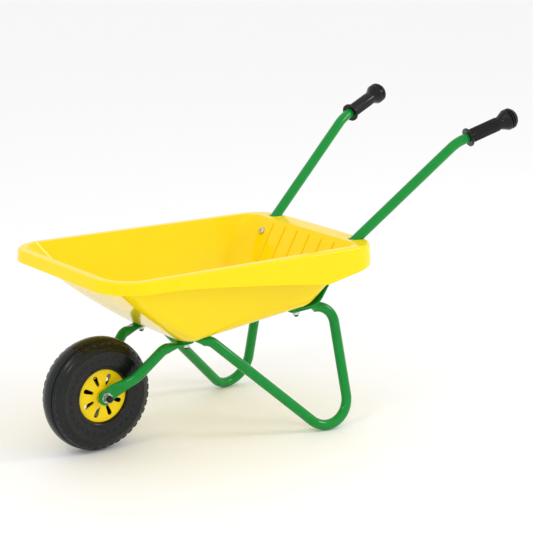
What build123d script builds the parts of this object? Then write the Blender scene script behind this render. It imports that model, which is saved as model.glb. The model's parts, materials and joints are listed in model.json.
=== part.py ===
from build123d import *
import math
import os

# Child's garden wheelbarrow: a moulded plastic tray carried by six bent steel tubes with
# pressed-flat ends, two moulded grips and one foam-filled wheel on a threaded axle.
# Millimetres. +X points forward (towards the wheel), +Y to the user's left, +Z up.
# The origin is on the ground, below the middle of the object's length and width.
# It stands on the tyre and on the two leg tubes. Only the wheel turns, about its axle.

# ---- Overall sizes ----
LENGTH = 776.0            # front of the tyre to the back of the grips
RIM_TOP_Z = 290.0         # top of the tray's rim above the origin

# ---- Wheel ----
WHEEL_R = 87.5
TYRE_HALF_W = 26.0
TREAD_R = 29.0            # radius of the rounded tread, seen in section
SHOULDER_HALF_W = 19.5
BEAD_HALF_W = 19.0        # half the tyre's width where it meets the hub
SEAT_R = 36.0             # where the tyre sits on the hub
SEAT_HALF_W = 15.0
HUB_R = 40.5              # the hub's visible disc
HUB_GAP = 0.6             # dark gap between the disc and the tyre
HUB_WALL = 3.0
BOSS_R = 13.0
BOSS_HALF_W = 22.0
DISH = 1.8                # how far the disc swells between its edge and the boss
GROOVE_W = 2.6
GROOVE_DEPTH = 2.4
GROOVE_Y = 12.0
SLOTS = 8
SLOT_INNER_R = 19.5       # centre of the slot's narrow end
SLOT_OUTER_R = 31.0       # centre of the slot's wide end
SLOT_NARROW = 5.0
SLOT_WIDE = 7.4

# ---- Axle ----
AXLE_D = 8.0
RUNNING_FIT = 0.05        # radial clearance of the bush on the axle
SIDE_PLAY = 0.2           # gap between the bush's flange and the spacer
BUSH_WALL = 2.0
BUSH_FLANGE_R = 9.0
BUSH_FLANGE_T = 1.4
BUSH_L = 16.0
SPACER_R = 8.0
SPACER_FIT = 0.1          # radial clearance of the spacers, washers and nuts on the axle
AXLE_NUT_AF = 13.0
AXLE_NUT_H = 6.5
AXLE_WASHER_R = 7.8
AXLE_CAP_R = 5.4
AXLE_CAP_H = 6.0

# ---- Tubes ----
TUBE_D = 16.0
TUBE_WALL = 1.5
HOLE_GAP = 0.2            # bolt hole larger than the bolt, per side
TIP_REACH = 12.5          # from the bolt to the end of a pressed-flat tip

# ---- Fork tubes ----
TYRE_GAP = 0.6            # between the tyre's widest part and the fork's flat ends
KNEE_BACK = 44.5          # the fork's gentle bend, measured from the axle
KNEE_UP = 25.5
KNEE_OUT = 14.5
KNEE_R = 60.0
FORK_FLAT_REACH = 15.0    # flat part above the axle
FORK_PRESS_SHARE = 0.65   # of the run to the knee, over which the tube turns round
FORK_TOP = (216.5, 57.0)  # x, y of the bend below the tray's floor
FORK_TOP_R = 18.0
FORK_LIFT = 4.0           # round part above the level of its flat end
FRONT_BOLT = (180.5, 62.5)

# ---- Leg tubes ----
LEG_FRONT_TOP = (147.0, 77.5)
LEG_CORNER = (-77.0, 156.0, -46.0)   # where the leg's two straight runs would meet
LEG_REAR_TOP = (-73.0, 93.0)
LEG_FRONT_R = 22.0
LEG_REAR_R = 29.0
LEG_LIFT = 2.4            # round part above the level of its flat end
LEG_PRESS_REACH = 22.0    # flat part behind the rear bolt

# ---- Handle tubes ----
REAR_BOLT = (-12.5, 82.0)
SPLAY = 13.0              # degrees that each handle turns out from the middle plane
HANDLE_SLOPE = 39.6       # degrees, seen from the side
GRIP_SLOPE = 19.3
HANDLE_EXIT_X = -113.1    # the handle's straight run passes here
HANDLE_EXIT_DEPTH = 2.3   # below the rim's top
GRIP_BALL_Z = 458.3
HANDLE_BEND_R = 70.0
WALL_BEND_R = 40.0
TUBE_GAP = 0.6            # between the handle tube and the tray's rear wall
HANDLE_PRESS_L = 26.0     # run over which the handle turns from round to flat
BEND_STEPS = 6            # sections along the handle's flat lower bend

# ---- Grips ----
GRIP_WALL = 2.4
GRIP_FLANGE = 4.8         # how far the flange stands out from the grip
GRIP_FLANGE_T = 4.0
GRIP_BELL_LIP = 6.4       # how far the bell stands out from the grip
GRIP_BELL_START = 60.0    # from the flange's face
GRIP_BELL_FULL = 72.0
GRIP_DOME_R = 18.5
GRIP_REACH = 74.0         # flange to the centre of the end's dome
GRIP_RINGS = (77.0, 81.5, 86.0)
GRIP_RING_W = 1.8
GRIP_RING_DEPTH = 1.6
GRIP_TUBE_REACH = 64.0    # how deep the tube goes into the grip

# ---- Tray ----
WALL = 3.0
RIM_TILT = 0.7            # degrees that the rim rises to the front
RIM_FRONT_X = 362.0
RIM_REAR_X = -124.0
RIM_FRONT_HALF = 161.0
RIM_REAR_HALF = 154.0
RIM_BOW = 5.0             # how far the rear edge bows back in the middle
RIM_W = 13.0              # flat top of the rim at the front and the sides
SHELF_W = 31.0            # flat top of the rim at the rear
RIM_FRONT_R = 58.0
RIM_REAR_R = 50.0
RIM_EDGE_R = 4.5
RIM_DRAFT = 4.0           # degrees that the skirt flares downwards
BOWL_FRONT_R = 42.0       # corners of the bowl's opening
BOWL_REAR_R = 24.0
FLOOR_FRONT_X = 192.0
FLOOR_FRONT_Z = 164.3     # underside of the floor at its front edge
FLOOR_REAR_X = -42.0
FLOOR_SLOPE = 7.1         # degrees that the floor rises to the rear
FLOOR_FRONT_HALF = 92.0
FLOOR_REAR_HALF = 104.0
FLOOR_FRONT_R = 34.0
FLOOR_REAR_R = 40.0
BULGE_FRONT = 9.0         # how far the walls swell at half height
BULGE_SIDE = 4.0
BULGE_R = 24.0            # front corners at half height
BULGE_REAR_R = 30.0
FLOOR_EDGE_R = 30.0       # rounding between the floor and the walls
SKIRT_FRONT = 13.0        # depths of the skirt below the level of RIM_TOP_Z
SKIRT_START_X = 248.0
SKIRT_START = 17.0
SKIRT_MID_X = 123.0
SKIRT_MID = 30.5
SKIRT_DEEP_X = -19.0
SKIRT_DEEP = 50.0
SKIRT_REAR = 30.0
RIBS_Y = (16.0, 48.0, 80.0)
RIB_R = 2.2
RIB_TOP_GAP = 9.0
SHELF_HOLE_GAP = 1.2

# ---- Small fasteners ----
BOLT_D = 6.0
HEAD_R = 6.0
HEAD_H = 3.4
SOCKET_AF = 3.6
SOCKET_DEPTH = 1.8
SEAT_GAP = 1.0            # head recess larger than the head, per side
SEAT_DEPTH = 0.8
NUT_AF = 10.0
NUT_H = 5.0
WASHER_R = 6.4
WASHER_T = 1.4
BOLT_END = 2.0            # bolt beyond its nut
CAP_R = 3.9
CAP_H = 4.0
WALL_BOLT_DROP = 24.0     # wall bolts below the rim's top

# ---- Worked-out sizes ----
WHEEL_X = LENGTH / 2 - WHEEL_R
TUBE_R = TUBE_D / 2
FLAT_T = 2 * TUBE_WALL
FLAT_W = FLAT_T + math.pi * (TUBE_D - FLAT_T) / 2
FORK_PLATE_Y = TYRE_HALF_W + TYRE_GAP + FLAT_T / 2
FLOOR_TILT = math.radians(FLOOR_SLOPE)
FLOOR_UP = Vector(math.sin(FLOOR_TILT), 0, math.cos(FLOOR_TILT))
SPLAY_TAN = math.tan(math.radians(SPLAY))
BOLT_HOLE_R = BOLT_D / 2 + HOLE_GAP
AXLE_HOLE_R = AXLE_D / 2 + HOLE_GAP
GRIP_R = TUBE_R + GRIP_WALL
GRIP_BALL_X = GRIP_DOME_R - LENGTH / 2
WALL_BOLT_Z = RIM_TOP_Z - WALL_BOLT_DROP
RIM_RISE = math.radians(RIM_TILT)
RIM_UP = Vector(-math.sin(RIM_RISE), 0, math.cos(RIM_RISE))
RIM_PLANE = Plane(origin=(0, 0, RIM_TOP_Z), x_dir=RIM_UP.cross(Vector(0, -1, 0)), z_dir=RIM_UP)


# ---- Reference lines ----
def floor_z(x):
    """Height of the floor's underside."""
    return FLOOR_FRONT_Z + (FLOOR_FRONT_X - x) * math.tan(FLOOR_TILT)


def under_floor(spot, depth):
    """Point at a distance below the floor's underside, square to it."""
    x, y, *_ = spot
    return Vector(x, y, floor_z(x)) - FLOOR_UP * depth


def front_slope():
    """Angle of the front wall above the horizontal."""
    run = RIM_FRONT_X - RIM_W - FLOOR_FRONT_X
    return math.atan2(RIM_TOP_Z - FLOOR_FRONT_Z, run)


def rear_slope():
    """Angle of the rear wall above the horizontal."""
    run = FLOOR_REAR_X - (RIM_REAR_X + SHELF_W - WALL)
    return math.atan2(RIM_TOP_Z - floor_z(FLOOR_REAR_X), run)


def rear_wall_x(z):
    """Outer face of the rear wall."""
    return FLOOR_REAR_X - (z - floor_z(FLOOR_REAR_X)) / math.tan(rear_slope())


def wall_out():
    """Unit direction out of the rear wall, square to it."""
    return Vector(-math.sin(rear_slope()), 0, -math.cos(rear_slope()))


def handle_point(x, z):
    """Point of the left handle's own plane, which splays out to the rear."""
    return Vector(x, REAR_BOLT[1] + (REAR_BOLT[0] - x) * SPLAY_TAN, z)


def meet(first, first_slope, second, second_slope):
    """Where two lines cross, seen from the side. Slopes rise to the rear."""
    rise_1, rise_2 = math.tan(first_slope), math.tan(second_slope)
    x = (second[1] - first[1] + second[0] * rise_2 - first[0] * rise_1) / (rise_2 - rise_1)
    return handle_point(x, first[1] - (x - first[0]) * rise_1)


def wall_lines(offset):
    """Point on a line along the rear wall and one below the floor, at a distance from the tray."""
    wall = (rear_wall_x(RIM_TOP_Z) - offset / math.sin(rear_slope()), RIM_TOP_Z)
    below = under_floor(REAR_BOLT, offset)
    return wall, (below.X, below.Z)


def handle_corners():
    """Grip's dome centre, the bend before the grip, the knee and the lower corner."""
    ball = (GRIP_BALL_X, GRIP_BALL_Z)
    run = (HANDLE_EXIT_X, RIM_TOP_Z - HANDLE_EXIT_DEPTH)
    wall, floor = wall_lines(TUBE_R + TUBE_GAP)
    handle_slope, grip_slope = math.radians(HANDLE_SLOPE), math.radians(GRIP_SLOPE)
    return [
        handle_point(*ball),
        meet(run, handle_slope, ball, grip_slope),
        meet(run, handle_slope, wall, rear_slope()),
        meet(wall, rear_slope(), floor, FLOOR_TILT),
    ]


def at_side(point, side):
    """The same point on the left (1) or on the right (-1)."""
    return Vector(point.X, side * point.Y, point.Z)


# ---- Tray ----
def outline(front_x, rear_x, front_half, rear_half, front_r, rear_r, bow):
    """Flat rounded trapezoid, with its rear edge bowed or straight."""
    front_left = (front_x, front_half)
    front_right = (front_x, -front_half)
    rear_left = (rear_x, rear_half)
    rear_right = (rear_x, -rear_half)
    edges = [
        Line(front_right, front_left),
        Line(front_left, rear_left),
        ThreePointArc(rear_left, (rear_x - bow, 0), rear_right) if bow else Line(rear_left, rear_right),
        Line(rear_right, front_right),
    ]
    face = make_face(edges)
    corners = face.vertices().sort_by(Axis.X)
    face = fillet(corners[:2], rear_r)
    return fillet(face.vertices().sort_by(Axis.X)[-2:], front_r)


def rim_outline(inset):
    """Rim's outline in plan, inset all round."""
    return outline(
        RIM_FRONT_X - inset, RIM_REAR_X + inset, RIM_FRONT_HALF - inset,
        RIM_REAR_HALF - inset, RIM_FRONT_R - inset, RIM_REAR_R - inset, RIM_BOW,
    )


def rim_block(inset, drop, edge_r):
    """Solid under the rim's top, with a rounded upper edge."""
    height = SKIRT_DEEP + 4 * WALL
    block = extrude(RIM_PLANE.offset(-drop) * rim_outline(inset), -height, taper=-RIM_DRAFT)
    return fillet(block.faces().sort_by(Axis.Z)[-1].edges(), edge_r)


def skirt_keep():
    """Everything above the skirt's lower edge."""
    back = (RIM_REAR_X - RIM_BOW - WALL, RIM_TOP_Z - SKIRT_REAR)
    deep = (SKIRT_DEEP_X, RIM_TOP_Z - SKIRT_DEEP)
    middle = (SKIRT_MID_X, RIM_TOP_Z - SKIRT_MID)
    start = (SKIRT_START_X, RIM_TOP_Z - SKIRT_START)
    front = (RIM_FRONT_X + WALL, RIM_TOP_Z - SKIRT_FRONT)
    top = RIM_TOP_Z + 4 * WALL
    edges = [
        Line(back, deep),
        ThreePointArc(deep, middle, start),
        Line(start, front),
        Line(front, (front[0], top)),
        Line((front[0], top), (back[0], top)),
        Line((back[0], top), back),
    ]
    face = Plane.XZ * make_face(edges)
    return extrude(face, RIM_FRONT_HALF + 3 * WALL, both=True)


def floor_outline(front_inset, inset, lift):
    """Outline of the floor, in its own sloping plane."""
    plane = Plane(
        origin=Vector(FLOOR_FRONT_X, 0, FLOOR_FRONT_Z) + FLOOR_UP * lift,
        x_dir=(math.cos(FLOOR_TILT), 0, -math.sin(FLOOR_TILT)),
        z_dir=FLOOR_UP,
    )
    run = (FLOOR_FRONT_X - FLOOR_REAR_X) / math.cos(FLOOR_TILT)
    return plane * outline(
        -front_inset, inset - run, FLOOR_FRONT_HALF - inset,
        FLOOR_REAR_HALF - inset, FLOOR_FRONT_R, FLOOR_REAR_R, 0,
    )


def bowl_top(thin):
    """Outline of the bowl's opening, in the rim's plane."""
    side = RIM_W - WALL + thin
    front = RIM_W - WALL + thin / math.sin(front_slope())
    return RIM_PLANE * outline(
        RIM_FRONT_X - front, RIM_REAR_X + SHELF_W - WALL + thin / math.sin(rear_slope()),
        RIM_FRONT_HALF - side, RIM_REAR_HALF - side, BOWL_FRONT_R, BOWL_REAR_R, 0,
    )


def bowl_middle(thin):
    """Outline at half height, where the walls swell."""
    front = thin / math.sin(front_slope())
    top_front, top_rear = RIM_FRONT_X - RIM_W + WALL, RIM_REAR_X + SHELF_W - WALL
    front_x = (FLOOR_FRONT_X + top_front) / 2 + BULGE_FRONT - front
    rear_x = (FLOOR_REAR_X + top_rear) / 2 + thin / math.sin(rear_slope())
    front_half = (FLOOR_FRONT_HALF + RIM_FRONT_HALF - RIM_W + WALL) / 2 + BULGE_SIDE - thin
    rear_half = (FLOOR_REAR_HALF + RIM_REAR_HALF - RIM_W + WALL) / 2 + BULGE_SIDE - thin
    front_z = (FLOOR_FRONT_Z + RIM_TOP_Z + RIM_FRONT_X * math.tan(RIM_RISE)) / 2
    rear_z = (floor_z(FLOOR_REAR_X) + RIM_TOP_Z + RIM_REAR_X * math.tan(RIM_RISE)) / 2
    along = Vector(front_x - rear_x, 0, front_z - rear_z).normalized()
    plane = Plane(origin=(front_x, 0, front_z), x_dir=along, z_dir=along.cross(Vector(0, 1, 0)))
    run = (front_x - rear_x) / along.X
    return plane * outline(0, -run, front_half, rear_half, BULGE_R, BULGE_REAR_R, 0)


def bowl(thin, edge_r):
    """Outside of the tray's bowl, or its inside where thin is the wall's thickness."""
    base_inset = thin * math.tan(front_slope() / 2)
    base = floor_outline(base_inset, thin, thin)
    solid = loft([base, bowl_middle(thin), bowl_top(thin)])
    foot = solid.faces().sort_by(Axis.Z)[0]
    return fillet(foot.edges(), edge_r)


def drill(radius, start, end):
    """Cylinder along +Z between two heights."""
    return Pos(0, 0, (start + end) / 2) * Cylinder(radius, end - start)


def floor_bolt_planes():
    """Seats of the four bolt heads in the floor, with +Z down each bolt."""
    planes = []
    for spot in (FRONT_BOLT, REAR_BOLT):
        for side in (1, -1):
            seat = under_floor((spot[0], side * spot[1]), SEAT_DEPTH - WALL)
            planes.append(Plane(origin=seat, x_dir=(0, 1, 0), z_dir=-FLOOR_UP))
    return planes


def wall_bolt_planes():
    """Seats of the two bolt heads in the rear wall, with +Z out of the tray."""
    face = Vector(rear_wall_x(WALL_BOLT_Z), 0, WALL_BOLT_Z)
    middle = face + wall_out() * (TUBE_R + TUBE_GAP)
    seat = face - wall_out() * (WALL - SEAT_DEPTH)
    seat += Vector(0, handle_point(middle.X, middle.Z).Y, 0)
    return [Plane(origin=at_side(seat, side), x_dir=(0, 1, 0), z_dir=wall_out())
            for side in (1, -1)]


def handle_bores():
    """Clearance holes for the two handle tubes through the shelf."""
    ball, bend, knee, corner = handle_corners()
    run = (bend - knee).normalized()
    spot = handle_point(HANDLE_EXIT_X, RIM_TOP_Z - HANDLE_EXIT_DEPTH)
    radius, slope = TUBE_R + SHELF_HOLE_GAP, math.radians(HANDLE_SLOPE)
    below = (WALL + radius * math.cos(slope)) / math.sin(slope)
    bore = Plane(origin=spot, z_dir=run) * drill(radius, -below, 2 * SHELF_W)
    return bore + mirror(bore, about=Plane.XZ)


def rear_ribs():
    """Low upright ribs on the rear wall's inner face."""
    ribs = Part()
    low, top = floor_z(FLOOR_REAR_X) + FLOOR_EDGE_R, RIM_TOP_Z - RIB_TOP_GAP
    for y in [side * y for y in RIBS_Y for side in (1, -1)]:
        ends = [Vector(rear_wall_x(z), y, z) - wall_out() * WALL for z in (low, top)]
        run = ends[1] - ends[0]
        middle = (ends[0] + ends[1]) * 0.5
        ribs += Plane(origin=middle, z_dir=run.normalized()) * Cylinder(RIB_R, run.length)
    return ribs


def make_tray():
    """Bowl, flat rim, rear shelf and skirt in one moulding."""
    rim = rim_block(0, 0, RIM_EDGE_R) - rim_block(WALL, WALL, RIM_EDGE_R - WALL / 2)
    rim &= skirt_keep()
    tray = rim + bowl(0, FLOOR_EDGE_R) - bowl(WALL, FLOOR_EDGE_R - WALL)
    tray += rear_ribs()
    tray -= handle_bores()
    seat = drill(HEAD_R + SEAT_GAP, -2 * WALL, 0)
    hole = drill(BOLT_HOLE_R, -WALL, 2 * WALL)
    for plane in floor_bolt_planes() + wall_bolt_planes():
        tray -= plane * (seat + hole)
    return tray


# ---- Tubes ----
def section_plane(point, direction, up):
    """Plane across a tube, with its X across the pressed part and its Y upwards."""
    across = Vector(*up).cross(direction).normalized()
    return Plane(origin=point, x_dir=across, z_dir=direction)


def section(plane, thick):
    """Section of the tube pressed to a thickness, with its perimeter kept."""
    if thick >= TUBE_D:
        corner = TUBE_R * math.sqrt(0.5)
        a, b, c, d = [(u * corner, v * corner) for u, v in ((1, 1), (-1, 1), (-1, -1), (1, -1))]
        upper, lower = ThreePointArc(a, (0, TUBE_R), b), ThreePointArc(c, (0, -TUBE_R), d)
        side = TUBE_R
    else:
        flat, high = math.pi * (TUBE_D - thick) / 4, thick / 2
        a, b, c, d = (flat, high), (-flat, high), (-flat, -high), (flat, -high)
        upper, lower = Line(a, b), Line(c, d)
        side = flat + high
    left, right = ThreePointArc(b, (-side, 0), c), ThreePointArc(d, (side, 0), a)
    return plane * make_face([upper, left, lower, right])


def pipe(points, radii):
    """Round bent tube, open through its length."""
    path = FilletPolyline(*points, radius=radii) if radii else Line(*points)
    plane = Plane(origin=path @ 0, z_dir=path % 0)
    outside = sweep(plane * Circle(TUBE_R), path=path)
    return outside - sweep(plane * Circle(TUBE_R - TUBE_WALL), path=path)


def tongue(start, bolt, up, hole_r):
    """Pressed-flat end from a point to beyond its bolt, with a round tip and a hole."""
    direction = (bolt - start).normalized()
    length = (bolt - start).length + TIP_REACH
    plate = extrude(section(section_plane(start, direction, up), FLAT_T), length, dir=direction)
    tip = Pos(length - FLAT_W / 2, 0) * Circle(FLAT_W / 2)
    body = Pos((length - FLAT_W / 2) / 2 - FLAT_W / 2, 0) * Rectangle(
        length + FLAT_W / 2, 2 * FLAT_W)
    top = Plane(origin=start, x_dir=direction, z_dir=up)
    plate &= top * extrude(tip + body, TUBE_D, both=True)
    return plate - Plane(origin=bolt, z_dir=up) * Cylinder(hole_r, 4 * FLAT_T)


def blend(start, direction, end, end_direction, up):
    """Transition from the round tube to its pressed-flat end."""
    ring = section(section_plane(start, direction, up), TUBE_D)
    flat = section(section_plane(end, end_direction, up), FLAT_T)
    return loft([ring, flat], ruled=True)


def bend_ends(before, corner, after, radius):
    """Where a bend's arc starts and ends, and the arc's centre."""
    into, out = (corner - before).normalized(), (after - corner).normalized()
    turn = math.radians(into.get_angle(out))
    reach = radius * math.tan(turn / 2)
    inward = (out - into * into.dot(out)).normalized()
    start = corner - into * reach
    return start, corner + out * reach, start + inward * radius


def floor_end(corner, before, radius, bolt, depth, lift, press):
    """Flat end below the floor: where the round tube stops, and the pressed part."""
    level = under_floor(corner, depth + TUBE_R - lift)
    target = under_floor(bolt, depth + TUBE_R - lift)
    start = bend_ends(before, level, target, radius)[1]
    flat = under_floor(bolt, depth + FLAT_T / 2)
    along = (target - start).normalized()
    flat_start = flat - along * press
    shape = blend(start, along, flat_start, along, FLOOR_UP)
    return start, shape + tongue(flat_start, flat, FLOOR_UP, BOLT_HOLE_R)


def make_fork():
    """Left fork tube: flat on the axle, bent under the floor, flat at the front bolt."""
    axle = Vector(WHEEL_X, FORK_PLATE_Y, WHEEL_R)
    knee = axle + Vector(-KNEE_BACK, KNEE_OUT, KNEE_UP)
    back = Vector(-KNEE_BACK, 0, KNEE_UP).normalized()
    plate_end = axle + back * FORK_FLAT_REACH
    run = (knee - plate_end).normalized()
    ring = plate_end + (knee - plate_end) * FORK_PRESS_SHARE
    foot = tongue(plate_end, axle, Vector(0, 1, 0), AXLE_HOLE_R)
    foot += blend(ring, -run, plate_end, -back, Vector(0, 1, 0))
    top = under_floor(FORK_TOP, FLAT_T + TUBE_R - FORK_LIFT)
    stop, head = floor_end(
        FORK_TOP, knee, FORK_TOP_R, FRONT_BOLT, FLAT_T, FORK_LIFT, 1.05 * TIP_REACH)
    return foot + pipe([ring, knee, top, stop], [KNEE_R, FORK_TOP_R * 0.999]) + head


def foot_radius(front, corner, rear):
    """Radius of the foot's bend that makes the tube just touch the ground."""
    to_front, to_rear = (front - corner).normalized(), (rear - corner).normalized()
    half = math.radians(to_front.get_angle(to_rear)) / 2
    bisector = (to_front + to_rear).normalized()
    normal = to_front.cross(to_rear).normalized()
    steepest = math.sqrt(1 - normal.Z ** 2)
    return (TUBE_R - corner.Z) / (bisector.Z / math.sin(half) - steepest)


def make_leg():
    """Left leg tube: front bolt, foot bend on the ground, arch, rear bolt."""
    corner = Vector(*LEG_CORNER)
    front = under_floor(LEG_FRONT_TOP, TUBE_R)
    rear = under_floor(LEG_REAR_TOP, FLAT_T + TUBE_R - LEG_LIFT)
    start, tip = floor_end(
        LEG_FRONT_TOP, corner, LEG_FRONT_R, FRONT_BOLT, 0, 0, 1.05 * TIP_REACH)
    stop, tail = floor_end(
        LEG_REAR_TOP, corner, LEG_REAR_R, REAR_BOLT, FLAT_T, LEG_LIFT, LEG_PRESS_REACH)
    radii = [LEG_FRONT_R * 0.999, foot_radius(front, corner, rear), LEG_REAR_R * 0.999]
    return tip + pipe([start, front, corner, rear, stop], radii) + tail


def flat_bend(upper):
    """Flat strip round the tray's lower rear corner, down from a point on the rear wall."""
    wall, floor = wall_lines(FLAT_T / 2 + TUBE_GAP)[0], wall_lines(FLAT_T / 2)[1]
    corner = meet(wall, rear_slope(), floor, FLOOR_TILT)
    bolt = under_floor(REAR_BOLT, FLAT_T / 2)
    start, end, centre = bend_ends(upper, corner, bolt, FLOOR_EDGE_R - FLAT_T)
    into, inward = (corner - upper).normalized(), (centre - start).normalized()
    turn = math.radians(into.get_angle(bolt - corner))
    sections = [section(section_plane(upper, into, -wall_out()), FLAT_T)]
    for step in range(BEND_STEPS + 1):
        angle = turn * step / BEND_STEPS
        normal = inward * math.cos(angle) - into * math.sin(angle)
        direction = into * math.cos(angle) + inward * math.sin(angle)
        share = step / BEND_STEPS
        up = -wall_out() * (1 - share) + FLOOR_UP * share
        spot = centre - normal * (FLOOR_EDGE_R - FLAT_T)
        sections.append(section(section_plane(spot, direction, up), FLAT_T))
    return end, loft(sections, ruled=True)


def make_handle():
    """Left handle tube: rear bolt, behind the rear wall, through the shelf, to the grip."""
    ball, bend, knee, corner = handle_corners()
    down = (corner - knee).normalized()
    wall_bolt = wall_bolt_planes()[0]
    round_end = wall_bolt.origin + wall_out() * (wall_stack() - TUBE_R) + down * 2 * HEAD_R
    pressed = round_end + down * HANDLE_PRESS_L - wall_out() * (TUBE_R - FLAT_T / 2)
    upper = handle_point(pressed.X, pressed.Z)
    end, strip = flat_bend(upper)
    flat = under_floor(REAR_BOLT, FLAT_T / 2)
    lower = blend(round_end, down, upper, down, -wall_out()) + strip
    lower += tongue(end, flat, FLOOR_UP, BOLT_HOLE_R)
    out = (ball - bend).normalized()
    grip_end = ball - out * (GRIP_REACH - GRIP_TUBE_REACH)
    tube = pipe([grip_end, bend, knee, round_end], [HANDLE_BEND_R, WALL_BEND_R]) + lower
    return tube - wall_bolt * drill(BOLT_HOLE_R, 0, 2 * TUBE_D)


# ---- Grips ----
def make_grip():
    """Left grip: flange, body, flared bell with ring grooves and a domed end."""
    bell_r = GRIP_R + GRIP_BELL_LIP
    dome_half = math.asin(bell_r / GRIP_DOME_R)
    dome_edge = GRIP_REACH + GRIP_DOME_R * math.cos(dome_half)
    tip = GRIP_REACH + GRIP_DOME_R
    lean = GRIP_DOME_R * math.sin(dome_half / 2)
    crown = GRIP_REACH + GRIP_DOME_R * math.cos(dome_half / 2)
    edges = [
        Polyline((TUBE_R, 0), (GRIP_R + GRIP_FLANGE, 0), (GRIP_R + GRIP_FLANGE, GRIP_FLANGE_T),
                 (GRIP_R, GRIP_FLANGE_T), (GRIP_R, GRIP_BELL_START), (bell_r, GRIP_BELL_FULL),
                 (bell_r, dome_edge)),
        ThreePointArc((bell_r, dome_edge), (lean, crown), (0, tip)),
        Polyline((0, tip), (0, GRIP_TUBE_REACH), (TUBE_R, GRIP_TUBE_REACH), (TUBE_R, 0)),
    ]
    grip = revolve(make_face(edges), axis=Axis.Y)
    for height in GRIP_RINGS:
        outer = bell_r if height < dome_edge else math.sqrt(
            GRIP_DOME_R ** 2 - (height - GRIP_REACH) ** 2)
        ring = Pos(outer, height) * Rectangle(2 * GRIP_RING_DEPTH, GRIP_RING_W)
        grip -= revolve(ring, axis=Axis.Y)
    ball, bend, knee, corner = handle_corners()
    out = (ball - bend).normalized()
    seat = Plane(origin=ball - out * GRIP_REACH, x_dir=out.cross(Vector(0, 0, 1)), z_dir=out)
    return seat * Rot(90, 0, 0) * grip


# ---- Wheel, built about its own centre with the axle along Y ----
def ring(points):
    """Solid of revolution about the axle from a profile of (radius, y) points."""
    return revolve(make_face(Polyline(*points, close=True)), axis=Axis.Y)


def make_tyre():
    """Foam-filled tyre with two tread grooves and a seat for the hub."""
    shoulder_r = WHEEL_R - TREAD_R + math.sqrt(TREAD_R ** 2 - SHOULDER_HALF_W ** 2)
    lip_r = HUB_R + HUB_GAP
    side_r = (shoulder_r + lip_r) / 2
    edges = [
        ThreePointArc((shoulder_r, SHOULDER_HALF_W), (WHEEL_R, 0), (shoulder_r, -SHOULDER_HALF_W)),
        ThreePointArc((shoulder_r, -SHOULDER_HALF_W), (side_r, -TYRE_HALF_W), (lip_r, -BEAD_HALF_W)),
        Polyline((lip_r, -BEAD_HALF_W), (lip_r, -SEAT_HALF_W), (SEAT_R, -SEAT_HALF_W),
                 (SEAT_R, SEAT_HALF_W), (lip_r, SEAT_HALF_W), (lip_r, BEAD_HALF_W)),
        ThreePointArc((lip_r, BEAD_HALF_W), (side_r, TYRE_HALF_W), (shoulder_r, SHOULDER_HALF_W)),
    ]
    tyre = revolve(make_face(edges), axis=Axis.Y)
    crown = WHEEL_R - TREAD_R + math.sqrt(TREAD_R ** 2 - GROOVE_Y ** 2)
    for side in (1, -1):
        groove = Pos(crown, side * GROOVE_Y) * Rectangle(2 * GROOVE_DEPTH, GROOVE_W)
        tyre -= revolve(groove, axis=Axis.Y)
    return tyre


def slot_cutter():
    """Radial slot, wider at its outer end, through the hub's disc."""
    ends = (Pos(SLOT_INNER_R, 0) * Circle(SLOT_NARROW / 2)).edges()
    ends += (Pos(SLOT_OUTER_R, 0) * Circle(SLOT_WIDE / 2)).edges()
    cutter = extrude(Plane.XZ * make_hull(ends), -BOSS_HALF_W)
    return cutter - Rot(90, 0, 0) * Cylinder(HUB_R, 2 * (SEAT_HALF_W - 2 * HUB_WALL))


def make_hub():
    """Left half of the hub: slotted disc, tyre seat and boss."""
    bore = AXLE_D / 2 + RUNNING_FIT + BUSH_WALL
    edge_y = SEAT_HALF_W + HUB_WALL
    half = ring([
        (bore, 0), (BOSS_R, 0), (BOSS_R, edge_y - HUB_WALL + DISH), (SEAT_R - HUB_WALL, SEAT_HALF_W),
        (SEAT_R - HUB_WALL, 0), (SEAT_R, 0), (SEAT_R, SEAT_HALF_W), (HUB_R, SEAT_HALF_W),
        (HUB_R, edge_y), (BOSS_R, edge_y + DISH), (BOSS_R, BOSS_HALF_W), (bore, BOSS_HALF_W),
    ])
    cutter = slot_cutter()
    for number in range(SLOTS):
        half -= Rot(0, (number + 0.5) * 360 / SLOTS, 0) * cutter
    return half


def make_bush():
    """Left flanged bush that runs on the axle."""
    inner = AXLE_D / 2 + RUNNING_FIT
    outer = inner + BUSH_WALL
    return ring([
        (inner, BOSS_HALF_W - BUSH_L), (outer, BOSS_HALF_W - BUSH_L), (outer, BOSS_HALF_W),
        (BUSH_FLANGE_R, BOSS_HALF_W), (BUSH_FLANGE_R, BOSS_HALF_W + BUSH_FLANGE_T),
        (inner, BOSS_HALF_W + BUSH_FLANGE_T),
    ])


def make_spacer():
    """Left spacer between the bush's flange and the fork."""
    start = BOSS_HALF_W + BUSH_FLANGE_T + SIDE_PLAY
    return washer(AXLE_D / 2 + SPACER_FIT, SPACER_R, start, FORK_PLATE_Y - FLAT_T / 2)


def washer(inner_r, outer_r, start, end):
    """Flat ring about the axle."""
    return ring([(inner_r, start), (outer_r, start), (outer_r, end), (inner_r, end)])


# ---- Fasteners, built along +Z ----
def hex_nut(across, height, bore_r):
    """Hexagon nut with chamfered corners, standing on Z = 0."""
    corner_r = across / math.sqrt(3)
    body = extrude(RegularPolygon(across / 2, 6, major_radius=False), height)
    blank = drill(corner_r, 0, height)
    body &= chamfer(blank.edges(), (corner_r - across / 2) * 0.9)
    return body - drill(bore_r, -1, height + 1)


def cap(radius, height, bore_r, depth):
    """Domed plastic cap, open below, standing on Z = 0."""
    body = drill(radius, 0, height)
    body = fillet(body.edges().sort_by(Axis.Z)[-1], min(radius, height) * 0.7)
    return body - drill(bore_r, -1, depth)


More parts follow.
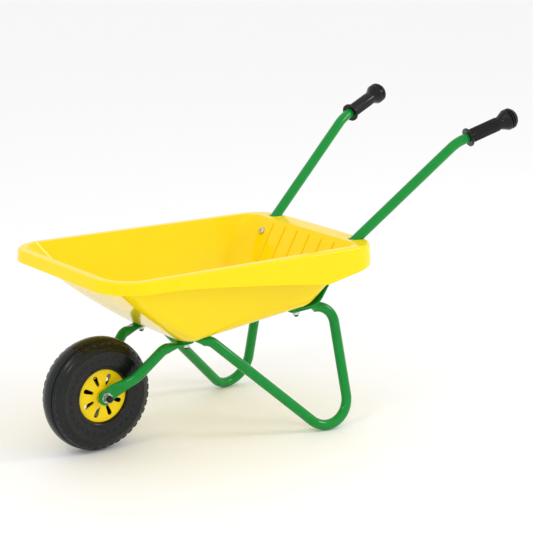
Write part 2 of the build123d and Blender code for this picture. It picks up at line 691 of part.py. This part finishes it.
def pan_bolt(length):
    """Pan-head bolt with a hexagon socket, its head's seat on Z = 0."""
    head = drill(HEAD_R, -HEAD_H, 0)
    head = fillet(head.edges().sort_by(Axis.Z)[0], HEAD_H * 0.6)
    socket = RegularPolygon(SOCKET_AF / 2, 6, major_radius=False)
    head -= extrude(Pos(0, 0, -HEAD_H) * socket, SOCKET_DEPTH)
    return head + drill(BOLT_D / 2, 0, length)


def washer_z(inner_r, outer_r, start, height):
    """Flat washer standing at a height."""
    return drill(outer_r, start, start + height) - drill(inner_r, start - 1, start + height + 1)


def floor_stack():
    """Depth below a floor bolt's seat at which its washer sits."""
    return WALL - SEAT_DEPTH + 2 * FLAT_T


def wall_stack():
    """Distance from a wall bolt's seat to the far side of the handle tube."""
    return WALL - SEAT_DEPTH + TUBE_GAP + TUBE_D


def group(planes, shape):
    """The same piece on each plane, as separate solids."""
    return Compound(children=[plane * shape for plane in planes])


def axle_planes():
    """Outer faces of the fork's flat ends, with +Z outwards."""
    return [Plane(origin=(WHEEL_X, side * (FORK_PLATE_Y + FLAT_T / 2), WHEEL_R),
                  x_dir=(0, 0, 1), z_dir=(0, side, 0)) for side in (1, -1)]


def fastener_nodes():
    """Bolts, washers, nuts and caps. Equal ones share a node."""
    floor, wall = floor_bolt_planes(), wall_bolt_planes()
    floor_nut = floor_stack() + WASHER_T
    nut_planes = [plane.offset(floor_nut) for plane in floor]
    nut_planes += [plane.offset(wall_stack()) for plane in wall]
    loose = BOLT_D / 2
    axle = axle_planes()
    nut_plane = [plane.offset(WASHER_T) for plane in axle]
    rod = 2 * (FORK_PLATE_Y + FLAT_T / 2 + WASHER_T + AXLE_NUT_H + BOLT_END)
    rod_shape = Pos(WHEEL_X, 0, WHEEL_R) * Rot(90, 0, 0) * Cylinder(AXLE_D / 2, rod)
    return {
        "floor_bolts": group(floor, pan_bolt(floor_nut + NUT_H + BOLT_END)),
        "wall_bolts": group(wall, pan_bolt(wall_stack() + NUT_H + BOLT_END)),
        "floor_washers": group(floor, washer_z(loose, WASHER_R, floor_stack(), WASHER_T)),
        "small_nuts": group(nut_planes, hex_nut(NUT_AF, NUT_H, loose)),
        "small_nut_caps": group([plane.offset(NUT_H) for plane in nut_planes],
                                cap(CAP_R, CAP_H, loose, BOLT_END)),
        "axle": rod_shape,
        "axle_washers": group(axle, washer_z(AXLE_D / 2, AXLE_WASHER_R, 0, WASHER_T)),
        "axle_nuts": group(nut_plane, hex_nut(AXLE_NUT_AF, AXLE_NUT_H, AXLE_D / 2)),
        "axle_caps": group([plane.offset(AXLE_NUT_H) for plane in nut_plane],
                           cap(AXLE_CAP_R, AXLE_CAP_H, AXLE_D / 2, BOLT_END)),
    }


def pair(name, shape):
    """A left piece and its mirror image on the right."""
    return {name + "_left": shape, name + "_right": mirror(shape, about=Plane.XZ)}


def all_nodes():
    """Every piece of the wheelbarrow, by the name of its node."""
    wheel = Pos(WHEEL_X, 0, WHEEL_R)
    nodes = {"tray": make_tray(), "tyre": wheel * make_tyre()}
    nodes |= pair("handle_tube", make_handle())
    nodes |= pair("leg_tube", make_leg())
    nodes |= pair("fork_tube", make_fork())
    nodes |= pair("grip", make_grip())
    nodes |= pair("hub", wheel * make_hub())
    nodes |= pair("hub_bush", wheel * make_bush())
    nodes |= pair("axle_spacer", wheel * make_spacer())
    return nodes | fastener_nodes()


if __name__ == "__main__":
    os.makedirs("parts", exist_ok=True)
    for name, shape in all_nodes().items():
        export_step(shape, f"parts/{name}.step")
        print(name, len(shape.solids()), round(shape.volume), shape.bounding_box())
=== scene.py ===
# %% [markdown]
# # A child's garden wheelbarrow
# This lesson gives each of them its finish, and models by hand the pieces whose surface has more
# to it than the CAD shape: the tyre with its tread and the two rubbery grips.

# %% Load the frame
import json
import math

import bpy
from mathutils import Matrix, Vector


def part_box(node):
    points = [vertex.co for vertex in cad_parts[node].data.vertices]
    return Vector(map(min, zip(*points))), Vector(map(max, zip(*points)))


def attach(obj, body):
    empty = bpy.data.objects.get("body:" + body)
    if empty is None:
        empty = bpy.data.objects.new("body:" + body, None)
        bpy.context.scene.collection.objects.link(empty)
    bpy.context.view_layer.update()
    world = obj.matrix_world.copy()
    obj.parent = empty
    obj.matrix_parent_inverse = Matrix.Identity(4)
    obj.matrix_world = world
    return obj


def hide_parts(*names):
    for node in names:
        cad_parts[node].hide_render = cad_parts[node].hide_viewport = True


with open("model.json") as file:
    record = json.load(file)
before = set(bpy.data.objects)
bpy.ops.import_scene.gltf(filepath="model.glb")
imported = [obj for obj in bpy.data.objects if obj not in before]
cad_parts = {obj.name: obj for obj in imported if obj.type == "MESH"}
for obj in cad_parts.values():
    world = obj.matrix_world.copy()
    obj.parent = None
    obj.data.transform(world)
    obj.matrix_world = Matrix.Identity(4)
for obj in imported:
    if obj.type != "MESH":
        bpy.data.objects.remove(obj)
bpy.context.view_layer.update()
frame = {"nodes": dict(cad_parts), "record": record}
MM = 0.001

# %% [markdown]
# ## Small helpers for modelling
# An operator acts on everything that is selected, so each step starts from a clean selection.
# A turned piece is drawn as half of its section, one extruded vertex after another, and then spun
# about its axis. That is how a tyre or a knob is made by hand, and it spaces the rings evenly.

# %% Selection and turning helpers
CLOSE = 0.01 * MM                   # points nearer than this are one point
BEVEL_SEGMENTS = 2


def clear_selection():
    """Nothing selected and no object being edited."""
    if bpy.context.object and bpy.context.object.mode != "OBJECT":
        bpy.ops.object.mode_set(mode="OBJECT")
    bpy.ops.object.select_all(action="DESELECT")


def work_on(obj):
    """Makes one object the only selected and active one."""
    clear_selection()
    obj.select_set(True)
    bpy.context.view_layer.objects.active = obj


def turned(name, section, steps, axis):
    """Spins a section, given as points in one plane, all round an axis through the origin."""
    clear_selection()
    bpy.ops.mesh.primitive_plane_add(size=MM)
    piece = bpy.context.object
    piece.name = name
    bpy.ops.object.mode_set(mode="EDIT")
    bpy.ops.mesh.select_all(action="SELECT")
    bpy.ops.mesh.merge(type="CENTER")
    bpy.ops.transform.translate(value=section[0])
    for before, after in zip(section, section[1:]):
        step = Vector(after) - Vector(before)
        bpy.ops.mesh.extrude_vertices_move(TRANSFORM_OT_translate={"value": step})
    bpy.ops.mesh.select_all(action="SELECT")
    bpy.ops.mesh.spin(steps=steps, angle=2 * math.pi, center=(0, 0, 0), axis=axis)
    bpy.ops.mesh.select_all(action="SELECT")
    bpy.ops.mesh.remove_doubles(threshold=CLOSE)
    bpy.ops.mesh.normals_make_consistent(inside=False)
    bpy.ops.object.mode_set(mode="OBJECT")
    return piece


def ring_of_blocks(name, size, spot, count, axis, edge):
    """One block at a spot, its edges bevelled, copied round an axis through the origin."""
    clear_selection()
    bpy.ops.mesh.primitive_cube_add(size=1)
    piece = bpy.context.object
    piece.name = name
    piece.scale = size
    piece.location = spot
    bpy.ops.object.transform_apply(location=True, rotation=True, scale=True)
    bpy.ops.object.mode_set(mode="EDIT")
    bpy.ops.mesh.select_all(action="SELECT")
    bpy.ops.mesh.bevel(offset=edge, segments=BEVEL_SEGMENTS, affect="EDGES")
    bpy.ops.mesh.select_all(action="SELECT")
    bpy.ops.mesh.spin(steps=count, angle=2 * math.pi, dupli=True, center=(0, 0, 0), axis=axis)
    bpy.ops.mesh.select_all(action="SELECT")
    bpy.ops.mesh.remove_doubles(threshold=CLOSE)
    bpy.ops.mesh.normals_make_consistent(inside=False)
    bpy.ops.object.mode_set(mode="OBJECT")
    return piece


def joined(pieces, name):
    """Several meshes as one piece."""
    clear_selection()
    for piece in pieces:
        piece.select_set(True)
    bpy.context.view_layer.objects.active = pieces[0]
    bpy.ops.object.join()
    pieces[0].name = name
    return pieces[0]


def smooth(piece, angle):
    """Smooth shading that keeps edges sharper than an angle, in degrees."""
    work_on(piece)
    bpy.ops.object.shade_smooth_by_angle(angle=math.radians(angle))


def settle(piece, place):
    """Moves a finished piece to its place and applies that, so its object stays at the origin."""
    work_on(piece)
    piece.matrix_world = place
    bpy.ops.object.transform_apply(location=True, rotation=True, scale=True)


print("helpers ready")

# %% [markdown]
# ## Finishes
# Every finish here starts from the same recipe. A broad noise makes the gloss uneven, as handling
# and dust do. A finer noise tints the colour slightly. The finest one is the surface's own grain,
# and goes into the bump. What differs is the scale and strength of each.

# %% Finish recipe
NOISE_LOW, NOISE_HIGH = 0.3, 0.7    # where most of a noise's values lie
TINT_LOW, TINT_HIGH = 0.35, 0.7
TINT_FINER = 3                      # the tint's noise against the gloss's
BUMP_STRENGTH = 0.5


def finish(name, colour, tint, rough, grain, depth, metal=0.0, patch=18.0, shine=0.3):
    """A procedural finish.

    colour and tint are the two ends of the colour, rough the least and most roughness, and patch
    the fineness of the gloss's patches. grain and depth are the fineness and height of the grain,
    and shine the strength of the reflection.
    """
    material = bpy.data.materials.new(name)
    material.use_nodes = True
    nodes, links = material.node_tree.nodes, material.node_tree.links
    shader = nodes["Principled BSDF"]
    place = nodes.new("ShaderNodeTexCoord")

    def noise(scale, detail):
        texture = nodes.new("ShaderNodeTexNoise")
        texture.inputs["Scale"].default_value = scale
        texture.inputs["Detail"].default_value = detail
        links.new(place.outputs["Object"], texture.inputs["Vector"])
        return texture.outputs["Fac"]

    gloss = nodes.new("ShaderNodeMapRange")
    gloss.inputs["From Min"].default_value = NOISE_LOW
    gloss.inputs["From Max"].default_value = NOISE_HIGH
    gloss.inputs["To Min"].default_value, gloss.inputs["To Max"].default_value = rough
    links.new(noise(patch, 4.0), gloss.inputs["Value"])
    links.new(gloss.outputs["Result"], shader.inputs["Roughness"])

    shade = nodes.new("ShaderNodeValToRGB")
    dull, bright = shade.color_ramp.elements
    dull.position, bright.position = TINT_LOW, TINT_HIGH
    dull.color, bright.color = (*tint, 1), (*colour, 1)
    links.new(noise(patch * TINT_FINER, 6.0), shade.inputs["Fac"])
    links.new(shade.outputs["Color"], shader.inputs["Base Color"])

    bump = nodes.new("ShaderNodeBump")
    bump.inputs["Strength"].default_value = BUMP_STRENGTH
    bump.inputs["Distance"].default_value = depth
    links.new(noise(grain, 3.0), bump.inputs["Height"])
    links.new(bump.outputs["Normal"], shader.inputs["Normal"])

    shader.inputs["Metallic"].default_value = metal
    shader.inputs["Specular IOR Level"].default_value = shine
    return material


# %% [markdown]
# ### The finishes of the real materials
# The tray is a moulded plastic, glossy, with a faint ripple. The tubes have a gloss powder coat.
# The tyre is a foam rubber with a slight sheen, the grips are a soft vinyl, and the fasteners are
# zinc plated, which is a metal with a cloudy gloss.

# %% Make the finishes
tray_plastic = finish(
    "tray_plastic", colour=(0.97, 0.720, 0.003), tint=(0.96, 0.705, 0.003), rough=(0.10, 0.16),
    grain=90, depth=0.05 * MM, patch=9, shine=0.2)
hub_plastic = finish(
    "hub_plastic", colour=(0.95, 0.690, 0.004), tint=(0.92, 0.66, 0.004), rough=(0.20, 0.32),
    grain=700, depth=0.05 * MM, shine=0.2)
tube_paint = finish(
    "tube_paint", colour=(0.0, 0.265, 0.034), tint=(0.0, 0.240, 0.028), rough=(0.04, 0.09),
    grain=420, depth=0.02 * MM, shine=0.3)
tyre_rubber = finish(
    "tyre_rubber", colour=(0.0060, 0.0070, 0.0075), tint=(0.004, 0.005, 0.005), rough=(0.20, 0.30),
    grain=1500, depth=0.05 * MM, patch=40, shine=0.32)
grip_plastic = finish(
    "grip_plastic", colour=(0.0065, 0.0070, 0.0080), tint=(0.004, 0.004, 0.005), rough=(0.18, 0.28),
    grain=2200, depth=0.04 * MM, patch=60, shine=0.26)
cap_plastic = finish(
    "cap_plastic", colour=(0.006, 0.006, 0.006), tint=(0.004, 0.004, 0.004), rough=(0.22, 0.36),
    grain=1800, depth=0.04 * MM, patch=90)
bush_plastic = finish(
    "bush_plastic", colour=(0.012, 0.012, 0.012), tint=(0.008, 0.008, 0.008), rough=(0.35, 0.5),
    grain=1800, depth=0.04 * MM, patch=90)
zinc = finish(
    "zinc", colour=(0.72, 0.73, 0.74), tint=(0.55, 0.56, 0.58), rough=(0.18, 0.38),
    grain=1600, depth=0.03 * MM, metal=1.0, patch=120, shine=0.5)
FINISHES = {
    "tray_plastic": tray_plastic, "hub_plastic": hub_plastic, "tube_paint": tube_paint,
    "tyre_rubber": tyre_rubber, "grip_plastic": grip_plastic, "cap_plastic": cap_plastic,
    "bush_plastic": bush_plastic, "zinc": zinc,
}
print("finishes", sorted(FINISHES))

# %% [markdown]
# The hub is a yellow disc, and the shade that falls in its slots is painted. One piece of plastic is
# drawn in both colours, yellow and a black painted shade: the depth along the axle decides which,
# with a sharp change just below the disc.

# %% Paint shade into the hub's slots
HUB_DISC_INNER = 16.6 * MM
# black painted shade for the hub's slots
SLOT_SHADE_BLACK = (0.004, 0.004, 0.004, 1)


def paint_slot_shade(material, depth):
    """Painted shade: black where the surface is nearer to the middle plane than a depth."""
    nodes, links = material.node_tree.nodes, material.node_tree.links
    shader, ramp = nodes["Principled BSDF"], nodes["Color Ramp"]
    place = nodes["Texture Coordinate"]
    axes = nodes.new("ShaderNodeSeparateXYZ")
    offset = nodes.new("ShaderNodeMath")
    offset.operation = "ABSOLUTE"
    inside = nodes.new("ShaderNodeMath")
    inside.operation = "LESS_THAN"
    inside.inputs[1].default_value = depth
    blend = nodes.new("ShaderNodeMix")
    blend.data_type = "RGBA"
    blend.inputs["B"].default_value = SLOT_SHADE_BLACK
    links.new(place.outputs["Object"], axes.inputs["Vector"])
    links.new(axes.outputs["Y"], offset.inputs[0])
    links.new(offset.outputs["Value"], inside.inputs[0])
    links.new(inside.outputs["Value"], blend.inputs["Factor"])
    links.new(ramp.outputs["Color"], blend.inputs["A"])
    links.new(blend.outputs["Result"], shader.inputs["Base Color"])


paint_slot_shade(hub_plastic, HUB_DISC_INNER)
# the depth below which the hub is painted black as shade
print("hub core dark below", HUB_DISC_INNER)

# %% [markdown]
# The record says which material slot each CAD node belongs to, so the finishes go on by that list.

# %% Put the finishes on the CAD nodes
for part in frame["record"]["subparts"]:
    mesh = frame["nodes"][part["node"]].data
    mesh.materials.clear()
    mesh.materials.append(FINISHES[part["material_slot"]])

# %% [markdown]
# ## The tyre
# The real tyre is one moulding: a rounded crown with two grooves round it, a row of shallow lugs on
# each shoulder, plain sidewalls with a raised line, and a thicker bead at the hub. The crown and
# sidewalls are turned from one section. A lug is modelled once and copied round the axle.

# %% Turn the tyre's body
tyre_low, tyre_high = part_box("tyre")
hub_low, hub_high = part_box("hub_left")
axle_spot = (tyre_low + tyre_high) / 2
TYRE_R = (tyre_high.z - tyre_low.z) / 2
TYRE_SIDE = (tyre_high.y - tyre_low.y) / 2 - 0.4 * MM
HUB_R = (hub_high.z - hub_low.z) / 2
LUG_RISE = 0.5 * MM                 # the shoulder's sink below the lugs
CROWN_R = 29 * MM
TYRE_STEPS = 144
AXLE_LINE = (0, 1, 0)
crown_low = TYRE_R - CROWN_R


def crown(side):
    """Radius of the crown at a distance from the middle of the tread."""
    return crown_low + math.sqrt(CROWN_R ** 2 - side ** 2)


def half_section():
    """From the middle of the tread to the hub, as (radius, distance from the middle) points."""
    # Crown, with one groove in it
    points = [(crown(0), 0), (crown(5 * MM), 5 * MM), (crown(9.2 * MM), 9.2 * MM)]
    points += [(crown(10.2 * MM) - 0.3 * MM, 10.4 * MM), (crown(11 * MM) - 2.4 * MM, 10.9 * MM)]
    points += [(crown(13 * MM) - 2.4 * MM, 13.1 * MM), (crown(13.8 * MM) - 0.3 * MM, 13.6 * MM)]
    points += [(crown(15 * MM) - 0.1 * MM, 15 * MM), (crown(17.5 * MM) - LUG_RISE / 2, 17.5 * MM)]
    # Shoulder and the raised line round the sidewall
    shoulder, side = crown(19.5 * MM) - LUG_RISE, TYRE_SIDE
    points += [(shoulder, 19.9 * MM), (shoulder - 3.5 * MM, 22.4 * MM)]
    points += [(shoulder - 8 * MM, 24.4 * MM)]
    points += [(shoulder - 9.2 * MM, 24.8 * MM), (shoulder - 9.8 * MM, side - 0.1 * MM)]
    points += [(shoulder - 11.4 * MM, side), (shoulder - 12 * MM, 25.2 * MM)]
    # Plain sidewall, then the bead that grips the hub
    points += [(shoulder - 18 * MM, 25.0 * MM), (HUB_R + 8 * MM, 23.6 * MM)]
    points += [(HUB_R + 6.2 * MM, 23.1 * MM), (HUB_R + 5.6 * MM, 23.8 * MM)]
    points += [(HUB_R + 3.8 * MM, 23.7 * MM), (HUB_R + 1.6 * MM, 22.2 * MM)]
    points += [(HUB_R + 0.7 * MM, 20 * MM), (HUB_R + 0.5 * MM, 15.1 * MM)]
    points += [(HUB_R - 4.4 * MM, 15.1 * MM)]
    return points


left_half = half_section()
right_half = [(r, -y) for r, y in reversed(left_half[1:])]
loop = right_half + left_half
tyre_body = turned("tyre_body", [(r, y, 0) for r, y in loop + loop[:1]], TYRE_STEPS, AXLE_LINE)
smooth(tyre_body, 40)
print("tyre body", len(tyre_body.data.polygons), "faces")

# %% [markdown]
# The shoulder lugs stand only slightly proud, so the outline is a little bumpy. The real tyre has
# raised marks on its sidewalls. Plain, evenly spaced dashes take their place. Lugs and dashes are
# sunk into the body, so no gap shows underneath.

# %% Copy the lugs and dashes round the axle
LUGS = 40
LUG_SIZE = (3.2 * MM, 5.6 * MM, 9.0 * MM)       # outwards, across the tread, round it
LUG_EDGE = 1.2 * MM
LUG_SINK = 1.75 * MM                            # its middle below the crown
LUG_SIDE = 17.3 * MM
DASHES = 30
DASH_SIZE = (3.0 * MM, 0.5 * MM, 4.6 * MM)
DASH_EDGE = 0.2 * MM
DASH_R = HUB_R + 17 * MM
DASH_SIDE = 25.0 * MM
lug_rings = []
for side in (1, -1):
    lug_spot = (crown(17.6 * MM) - LUG_SINK, side * LUG_SIDE, 0)
    lugs = ring_of_blocks("lugs", LUG_SIZE, lug_spot, LUGS, AXLE_LINE, LUG_EDGE)
    smooth(lugs, 40)
    lug_rings.append(lugs)
dash_rings = []
for side in (1, -1):
    dash_spot = (DASH_R, side * DASH_SIDE, 0)
    dashes = ring_of_blocks("dashes", DASH_SIZE, dash_spot, DASHES, AXLE_LINE, DASH_EDGE)
    smooth(dashes, 40)
    dash_rings.append(dashes)
foam_tyre = joined([tyre_body] + lug_rings + dash_rings, "foam_tyre")
settle(foam_tyre, Matrix.Translation(axle_spot))
foam_tyre.data.materials.clear()
foam_tyre.data.materials.append(tyre_rubber)
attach(foam_tyre, "wheel")
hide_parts("tyre")
print("foam tyre", len(foam_tyre.data.polygons), "faces")

# %% [markdown]
# ## The grips
# Each grip is a soft vinyl sleeve pushed over the tube: a flange, a straight body with fine ribs
# along it, a flared bell with ring grooves and a domed end. The sleeve is turned from one section,
# and a single rib is copied round it. The hold in the record says where a grip is and which way it
# points.

# %% Turn the grips
GRIP_R = 10.4 * MM
FLANGE_FACE = -74 * MM
DOME_R = 18.5 * MM
BELL_R = 16.8 * MM
HOLD_TO_DOME = 40 * MM
GRIP_STEPS = 64
RIBS = 20
RIB_LENGTH = 50 * MM
RIB_SIZE = (1.6 * MM, 1.5 * MM, RIB_LENGTH)     # outwards, round the grip, along it
RIB_EDGE = 0.5 * MM
RIB_SPOT = (GRIP_R, 0, FLANGE_FACE + 6.5 * MM + RIB_LENGTH / 2)
RING_HEIGHTS = (3.0, 7.5, 12.0)                 # mm above the middle of the dome
RING_DEPTH = 2.4 * MM
DOME_ANGLES = (50, 58, 66, 74, 82)
ALONG = (0, 0, 1)


def grip_section():
    """From the flange's inner edge to the tip of the dome, as (radius, height) points."""
    points = [(8.05 * MM, FLANGE_FACE), (14.6 * MM, FLANGE_FACE)]
    points += [(15.2 * MM, FLANGE_FACE + 0.7 * MM)]
    points += [(15.2 * MM, FLANGE_FACE + 3.0 * MM), (14.4 * MM, FLANGE_FACE + 4.0 * MM)]
    points += [(GRIP_R + 0.6 * MM, FLANGE_FACE + 4.3 * MM), (GRIP_R, FLANGE_FACE + 5.4 * MM)]
    points += [(GRIP_R, -15.5 * MM), (GRIP_R + 0.8 * MM, -12.5 * MM), (GRIP_R + 3 * MM, -8 * MM)]
    points += [(BELL_R - 0.9 * MM, -3.2 * MM), (BELL_R, -1.4 * MM), (BELL_R, 1.9 * MM)]
    for ring in RING_HEIGHTS:
        outer = min(BELL_R, math.sqrt(DOME_R ** 2 - ((ring - 1) * MM) ** 2))
        after = min(BELL_R, math.sqrt(DOME_R ** 2 - ((ring + 1) * MM) ** 2))
        points += [(outer, (ring - 1.0) * MM), (outer - RING_DEPTH, (ring - 0.6) * MM)]
        points += [(after - RING_DEPTH, (ring + 0.6) * MM), (after, (ring + 1.0) * MM)]
    for angle in DOME_ANGLES:
        lean = math.radians(angle)
        points.append((DOME_R * math.cos(lean), DOME_R * math.sin(lean)))
    return points + [(0, DOME_R)]


def make_grip(side_name):
    """A whole grip about its own axis, then set on the handle."""
    body = turned("grip_body", [(r, 0, h) for r, h in grip_section()], GRIP_STEPS, ALONG)
    smooth(body, 35)
    ribs = ring_of_blocks("ribs", RIB_SIZE, RIB_SPOT, RIBS, ALONG, RIB_EDGE)
    smooth(ribs, 40)
    grip = joined([body, ribs], f"vinyl_grip_{side_name}")
    hold = next(m for m in frame["record"]["mounts"] if m["name"] == f"grip_{side_name}_hold")
    points_to = Vector(hold["axis"]).normalized()
    dome = Vector(hold["pos_m"]) + points_to * HOLD_TO_DOME
    turn = points_to.to_track_quat("Z", "Y").to_matrix().to_4x4()
    settle(grip, Matrix.Translation(dome) @ turn)
    grip.data.materials.clear()
    grip.data.materials.append(grip_plastic)
    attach(grip, "frame")
    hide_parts(f"grip_{side_name}")
    return grip


for side_name in ("left", "right"):
    grip = make_grip(side_name)
    print(grip.name, len(grip.data.polygons), "faces")

# %% [markdown]
# ## Floor, light and camera
# The barrow stands on a plain white floor in soft, even studio light. A white surround does most of
# it. Two small softboxes in front draw the highlights on the grips and the tyre. A larger one behind
# draws those on the legs and brightens the near side of the tray.

# %% Floor
FLOOR_SIZE = 60
FLOOR_WHITE = (0.98, 0.98, 0.98, 1)
FLOOR_ROUGH = 0.6
FLOOR_DROP = 0.2 * MM               # keeps the tubes' undersides clear of it
clear_selection()
bpy.ops.mesh.primitive_plane_add(size=FLOOR_SIZE, location=(0, 0, -FLOOR_DROP))
floor = bpy.context.object
floor.name = "floor"
bpy.ops.object.transform_apply(location=True, rotation=False, scale=False)
floor_finish = bpy.data.materials.new("floor_white")
floor_finish.use_nodes = True
floor_shader = floor_finish.node_tree.nodes["Principled BSDF"]
floor_shader.inputs["Base Color"].default_value = FLOOR_WHITE
floor_shader.inputs["Roughness"].default_value = FLOOR_ROUGH
floor.data.materials.append(floor_finish)


# %% Lights
def softbox(name, spot, target, size, power):
    """A square area light that faces a point."""
    clear_selection()
    bpy.ops.object.light_add(type="AREA", location=spot)
    lamp = bpy.context.object
    lamp.name = name
    lamp.data.shape = "SQUARE"
    lamp.data.size = size
    lamp.data.energy = power
    aim = Vector(target) - Vector(spot)
    lamp.rotation_euler = aim.to_track_quat("-Z", "Y").to_euler()


MIDDLE = (0, 0, 0.22)
SURROUND = 0.95
softbox("front_softbox", (1.8, 0.55, 2.1), MIDDLE, 0.35, 6)
softbox("key_softbox", (1.45, 2.1, 1.65), MIDDLE, 0.25, 4)
softbox("rear_softbox", (-1.75, 1.4, 1.5), MIDDLE, 0.6, 13)
world = bpy.data.worlds.new("studio")
bpy.context.scene.world = world
world.use_nodes = True
background = world.node_tree.nodes["Background"]
background.inputs["Color"].default_value = (1, 1, 1, 1)
background.inputs["Strength"].default_value = SURROUND
bpy.context.scene.view_settings.view_transform = "Standard"

# %% Camera
CAMERA_SPOT = (1.7020, 2.3503, 0.9618)
CAMERA_BACK = Vector((0.5728, 0.7832, 0.2419))
CAMERA_LENS = 127.98
clear_selection()
bpy.ops.object.camera_add(location=CAMERA_SPOT)
camera = bpy.context.object
camera.data.lens = CAMERA_LENS
camera.rotation_mode = "QUATERNION"
camera.rotation_quaternion = (-CAMERA_BACK).to_track_quat("-Z", "Y")
bpy.context.scene.camera = camera
print("camera", CAMERA_SPOT, CAMERA_LENS)
